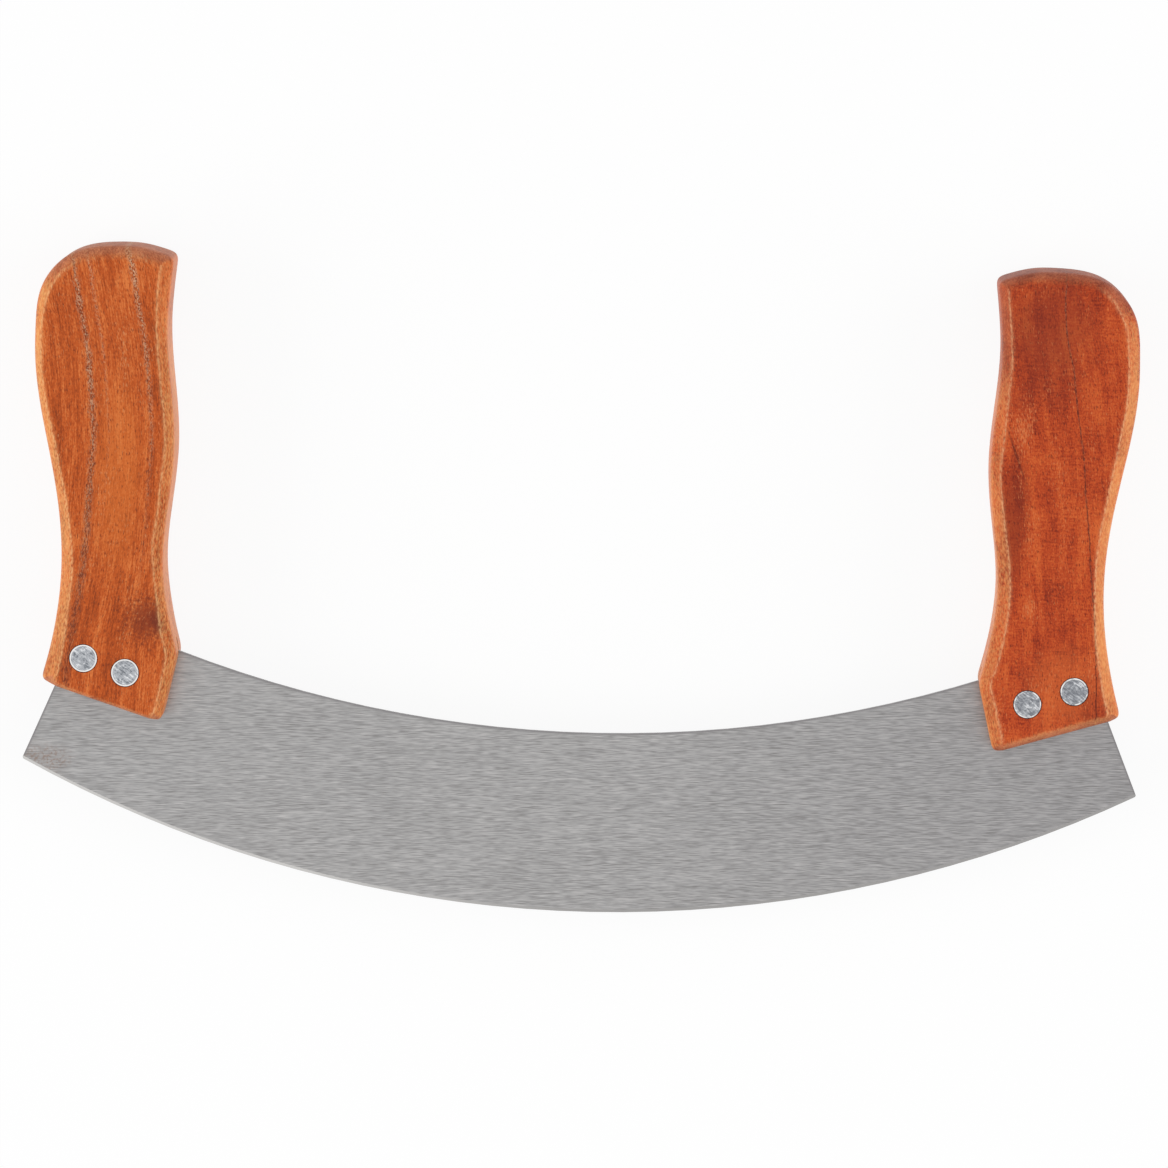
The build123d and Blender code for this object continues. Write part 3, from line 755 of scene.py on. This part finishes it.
# The corners of the head's profile after its middle: how far from the head's radius, and how far down
profile = [
    (-HEAD_RIM, HEAD_DISH), (-0.7 * HEAD_RIM, 0), (-HEAD_ROUND, 0),
    (-0.29 * HEAD_ROUND, 0.29 * HEAD_ROUND), (0, HEAD_ROUND), (0, HEAD_THICKNESS)]
corners = [add(half_rivet, "ShaderNodeCombineXYZ", {"Y": HEAD_DISH}).outputs[0]]
for inwards, depth in profile:
    across = add(half_rivet, "ShaderNodeMath", {0: head_radius, 1: inwards}).outputs[0]
    corners.append(add(half_rivet, "ShaderNodeCombineXYZ", {"X": across, "Y": depth}).outputs[0])
for across, depth in ((shank_radius, HEAD_THICKNESS), (shank_radius, shank_end),
                      (given["Bore radius"], shank_end), (given["Bore radius"], bore_end), (0, bore_end)):
    corners.append(add(half_rivet, "ShaderNodeCombineXYZ", {"X": across, "Y": depth}).outputs[0])
number = add(half_rivet, "GeometryNodeInputIndex").outputs[0]
switch = add(half_rivet, "GeometryNodeIndexSwitch", {"Index": number}, data_type="VECTOR")
while len(switch.index_switch_items) < len(corners):
    switch.index_switch_items.new()
for count, corner in enumerate(corners):
    half_rivet.links.new(corner, switch.inputs[count + 1])
line = add(half_rivet, "GeometryNodeMeshLine", {"Count": len(corners)}).outputs[0]
line = add(half_rivet, "GeometryNodeSetPosition", {
    "Geometry": line, "Position": switch.outputs[0]}).outputs[0]
curve = add(half_rivet, "GeometryNodeMeshToCurve", {"Mesh": line}).outputs[0]
on_top = add(half_rivet, "ShaderNodeMath", {0: number, 1: 1}, operation="LESS_THAN").outputs[0]
cuts = add(half_rivet, "ShaderNodeMath", {0: on_top, 1: HEAD_RINGS}, operation="MULTIPLY").outputs[0]
curve = add(half_rivet, "GeometryNodeSubdivideCurve", {"Curve": curve, "Cuts": cuts}).outputs[0]
axis = add(half_rivet, "GeometryNodeCurvePrimitiveCircle", {
    "Resolution": HEAD_SIDES, "Radius": TOUCHING}).outputs[0]
turned_half = add(half_rivet, "GeometryNodeCurveToMesh", {"Curve": axis, "Profile Curve": curve}).outputs[0]
turned_half = add(half_rivet, "GeometryNodeMergeByDistance", {
    "Geometry": turned_half, "Distance": 2 * TOUCHING}).outputs[0]
spot = add(half_rivet, "GeometryNodeInputPosition").outputs[0]
flat = add(half_rivet, "ShaderNodeVectorMath", {0: spot, 1: (1, 1, 0)}, operation="MULTIPLY").outputs[0]
radius = add(half_rivet, "ShaderNodeVectorMath", {0: flat}, operation="LENGTH").outputs["Value"]
turned_half = add(half_rivet, "GeometryNodeStoreNamedAttribute", {
    "Geometry": turned_half, "Name": "turned_radius", "Value": radius},
    data_type="FLOAT", domain="POINT").outputs[0]
seeded = add(half_rivet, "ShaderNodeVectorMath", {
    0: flat, 1: [1 / MARK_SIZE] * 3, 2: given["Mark seed"]}, operation="MULTIPLY_ADD").outputs[0]
pressed = add(half_rivet, "ShaderNodeTexNoise", {"Vector": seeded, "Scale": 1, "Detail": 2}).outputs["Fac"]
inside = add(half_rivet, "ShaderNodeMath", {0: radius, 1: head_radius}, operation="DIVIDE").outputs[0]
inside = add(half_rivet, "ShaderNodeMapRange", {
    "Value": inside, "From Min": 0.85, "From Max": 0.4}).outputs[0]
top = add(half_rivet, "ShaderNodeSeparateXYZ", {0: spot}).outputs["Z"]
top = add(half_rivet, "ShaderNodeMath", {0: top, 1: -HEAD_THICKNESS / 2}, operation="GREATER_THAN").outputs[0]
sunk = add(half_rivet, "ShaderNodeMath", {0: pressed, 1: -MARK_DEPTH}, operation="MULTIPLY").outputs[0]
sunk = add(half_rivet, "ShaderNodeMath", {0: sunk, 1: inside}, operation="MULTIPLY").outputs[0]
sunk = add(half_rivet, "ShaderNodeMath", {0: sunk, 1: top}, operation="MULTIPLY").outputs[0]
sunk = add(half_rivet, "ShaderNodeCombineXYZ", {"Z": sunk}).outputs[0]
turned_half = add(half_rivet, "GeometryNodeSetPosition", {"Geometry": turned_half, "Offset": sunk}).outputs[0]
turn = add(half_rivet, "ShaderNodeCombineXYZ", {"X": given["Turn"]}).outputs[0]
turned_half = add(half_rivet, "GeometryNodeTransform", {
    "Geometry": turned_half, "Translation": given["Place"], "Rotation": turn}).outputs[0]
turned_half = add(half_rivet, "GeometryNodeRealizeInstances", {"Geometry": turned_half}).outputs[0]
turned_half = add(half_rivet, "GeometryNodeSetMaterial", {
    "Geometry": turned_half, "Material": given["Metal"]}).outputs[0]
add(half_rivet, "NodeGroupOutput", {"Geometry": turned_half})

halves = [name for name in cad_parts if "rivet" in name]
for number, name in enumerate(halves):
    low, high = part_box(name)
    is_tube = name.endswith("tube")
    length = high.z - low.z - HEAD_THICKNESS
    piece = new_piece(name.replace("rivet", "turned"), [], [])
    modifier = piece.modifiers.new("turn", "NODES")
    modifier.node_group = half_rivet
    values = {
        "Head radius": (high.x - low.x) / 2, "Shank radius": TUBE_RADIUS if is_tube else PIN_RADIUS,
        "Shank length": length, "Bore radius": TUBE_BORE_RADIUS if is_tube else 0.0,
        "Bore depth": length if is_tube else 0.0, "Turn": 0.0 if is_tube else math.pi,
        "Mark seed": MARK_SEED_STEP * number, "Metal": aluminium,
        "Place": ((low.x + high.x) / 2, (low.y + high.y) / 2, high.z if is_tube else low.z)}
    for label, value in values.items():
        modifier[sizes[label]] = value
    piece.data = bpy.data.meshes.new_from_object(piece.evaluated_get(bpy.context.evaluated_depsgraph_get()))
    piece.modifiers.clear()
    piece.data.shade_smooth()
    piece.data.set_sharp_from_angle(angle=SHARP_ANGLE)
    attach(piece, "root")
    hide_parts(name)

# The setting: a plain white table that the tool lies on, in soft white light from all round and from a long
# softbox low at each end of the tool
FLOOR_SIZE = 8.0
LAMINATE, WHITE = "F6F6F6", "FFFFFF"
TABLE_LIFT = 0.9  # how far the table is seen as white: the rest keeps the tool's shadow
middle = sum((Vector(corner) for corner in cad_box), Vector()) / 2
half = FLOOR_SIZE / 2
edges = [(-half, -half, 0), (half, -half, 0), (half, half, 0), (-half, half, 0)]
floor = new_piece("table", edges, [(0, 1, 2, 3)])
white, tree, place = new_material("white_laminate_table")
diffuse = add(tree, "ShaderNodeBsdfDiffuse", {"Color": srgb(LAMINATE)})
rays = add(tree, "ShaderNodeLightPath").outputs
seen = add(tree, "ShaderNodeMath", {0: rays["Is Camera Ray"], 1: rays["Is Glossy Ray"]}).outputs[0]
seen = add(tree, "ShaderNodeMath", {0: seen, 1: rays["Is Transmission Ray"]}, use_clamp=True).outputs[0]
seen = add(tree, "ShaderNodeMath", {0: seen, 1: TABLE_LIFT}, operation="MULTIPLY").outputs[0]
glow = add(tree, "ShaderNodeEmission", {"Color": srgb(WHITE), "Strength": 1})
lift = add(tree, "ShaderNodeMixShader", {"Fac": seen, 1: diffuse.outputs[0], 2: glow.outputs[0]})
add(tree, "ShaderNodeOutputMaterial", {"Surface": lift.outputs[0]})
floor.data.materials.append(white)

# White walls: seen and mirrored as white, but lighting the tool less, so that the softboxes model it
WALL_LIGHT = 0.60
sky = bpy.data.worlds.new("studio")
sky.use_nodes = True
sky.node_tree.nodes.clear()
rays = add(sky.node_tree, "ShaderNodeLightPath").outputs
seen = add(sky.node_tree, "ShaderNodeMath", {0: rays["Is Camera Ray"], 1: rays["Is Glossy Ray"]}).outputs[0]
seen = add(sky.node_tree, "ShaderNodeMath", {
    0: seen, 1: rays["Is Transmission Ray"]}, use_clamp=True).outputs[0]
strength = add(sky.node_tree, "ShaderNodeMapRange", {
    "Value": seen, "To Min": WALL_LIGHT, "To Max": 1}).outputs[0]
walls = add(sky.node_tree, "ShaderNodeBackground", {"Color": srgb(WHITE), "Strength": strength})
add(sky.node_tree, "ShaderNodeOutputWorld", {"Surface": walls.outputs[0]})
bpy.context.scene.world = sky

# The softboxes face the tool: the angle of each round it, and its watts. They stay out of mirrored light, so
# that the steel doesn't glare.
SOFTBOXES = {"left_softbox": (math.radians(192), 27), "right_softbox": (0, 23)}
SOFTBOX_ELEVATION = math.radians(22)
SOFTBOX_DISTANCE = 2.0
SOFTBOX_SIZE = (1.8, 1.0)
for name, (angle, power) in SOFTBOXES.items():
    light = bpy.data.lights.new(name, "AREA")
    light.shape = "RECTANGLE"
    light.size, light.size_y = SOFTBOX_SIZE
    light.energy = power
    lamp = bpy.data.objects.new(name, light)
    level = math.cos(SOFTBOX_ELEVATION)
    away = Vector((level * math.cos(angle), level * math.sin(angle), math.sin(SOFTBOX_ELEVATION)))
    lamp.location = middle + SOFTBOX_DISTANCE * away
    lamp.rotation_euler = away.to_track_quat("Z", "Y").to_euler()
    lamp.visible_camera = False
    lamp.visible_glossy = False
    bpy.context.scene.collection.objects.link(lamp)

# The camera looks down on the table from a little above the handles' tops
CAMERA_DISTANCE = 1.7
TILT = math.radians(6.5)
YAW = math.radians(1.1)
ROLL = math.radians(1.833)
LENS, SENSOR_WIDTH = 225.35, 36
FRAMING = Vector((-0.00013, 0.00012, 0))  # of the picture's middle, from the tool's
back = Vector((math.sin(YAW) * math.cos(TILT), math.sin(TILT), math.cos(YAW) * math.cos(TILT)))
right = Vector((math.cos(YAW), 0, -math.sin(YAW)))
up = back.cross(right)
camera_right = right * math.cos(ROLL) + up * math.sin(ROLL)
camera_up = up * math.cos(ROLL) - right * math.sin(ROLL)
lens = bpy.data.cameras.new("camera")
lens.lens = LENS
lens.sensor_width = SENSOR_WIDTH
camera = bpy.data.objects.new("camera", lens)
turn = Matrix((camera_right, camera_up, back)).transposed().to_4x4()
camera.matrix_world = Matrix.Translation(middle + FRAMING + CAMERA_DISTANCE * back) @ turn
bpy.context.scene.collection.objects.link(camera)
bpy.context.scene.camera = camera
bpy.context.scene.view_settings.view_transform = "Standard"
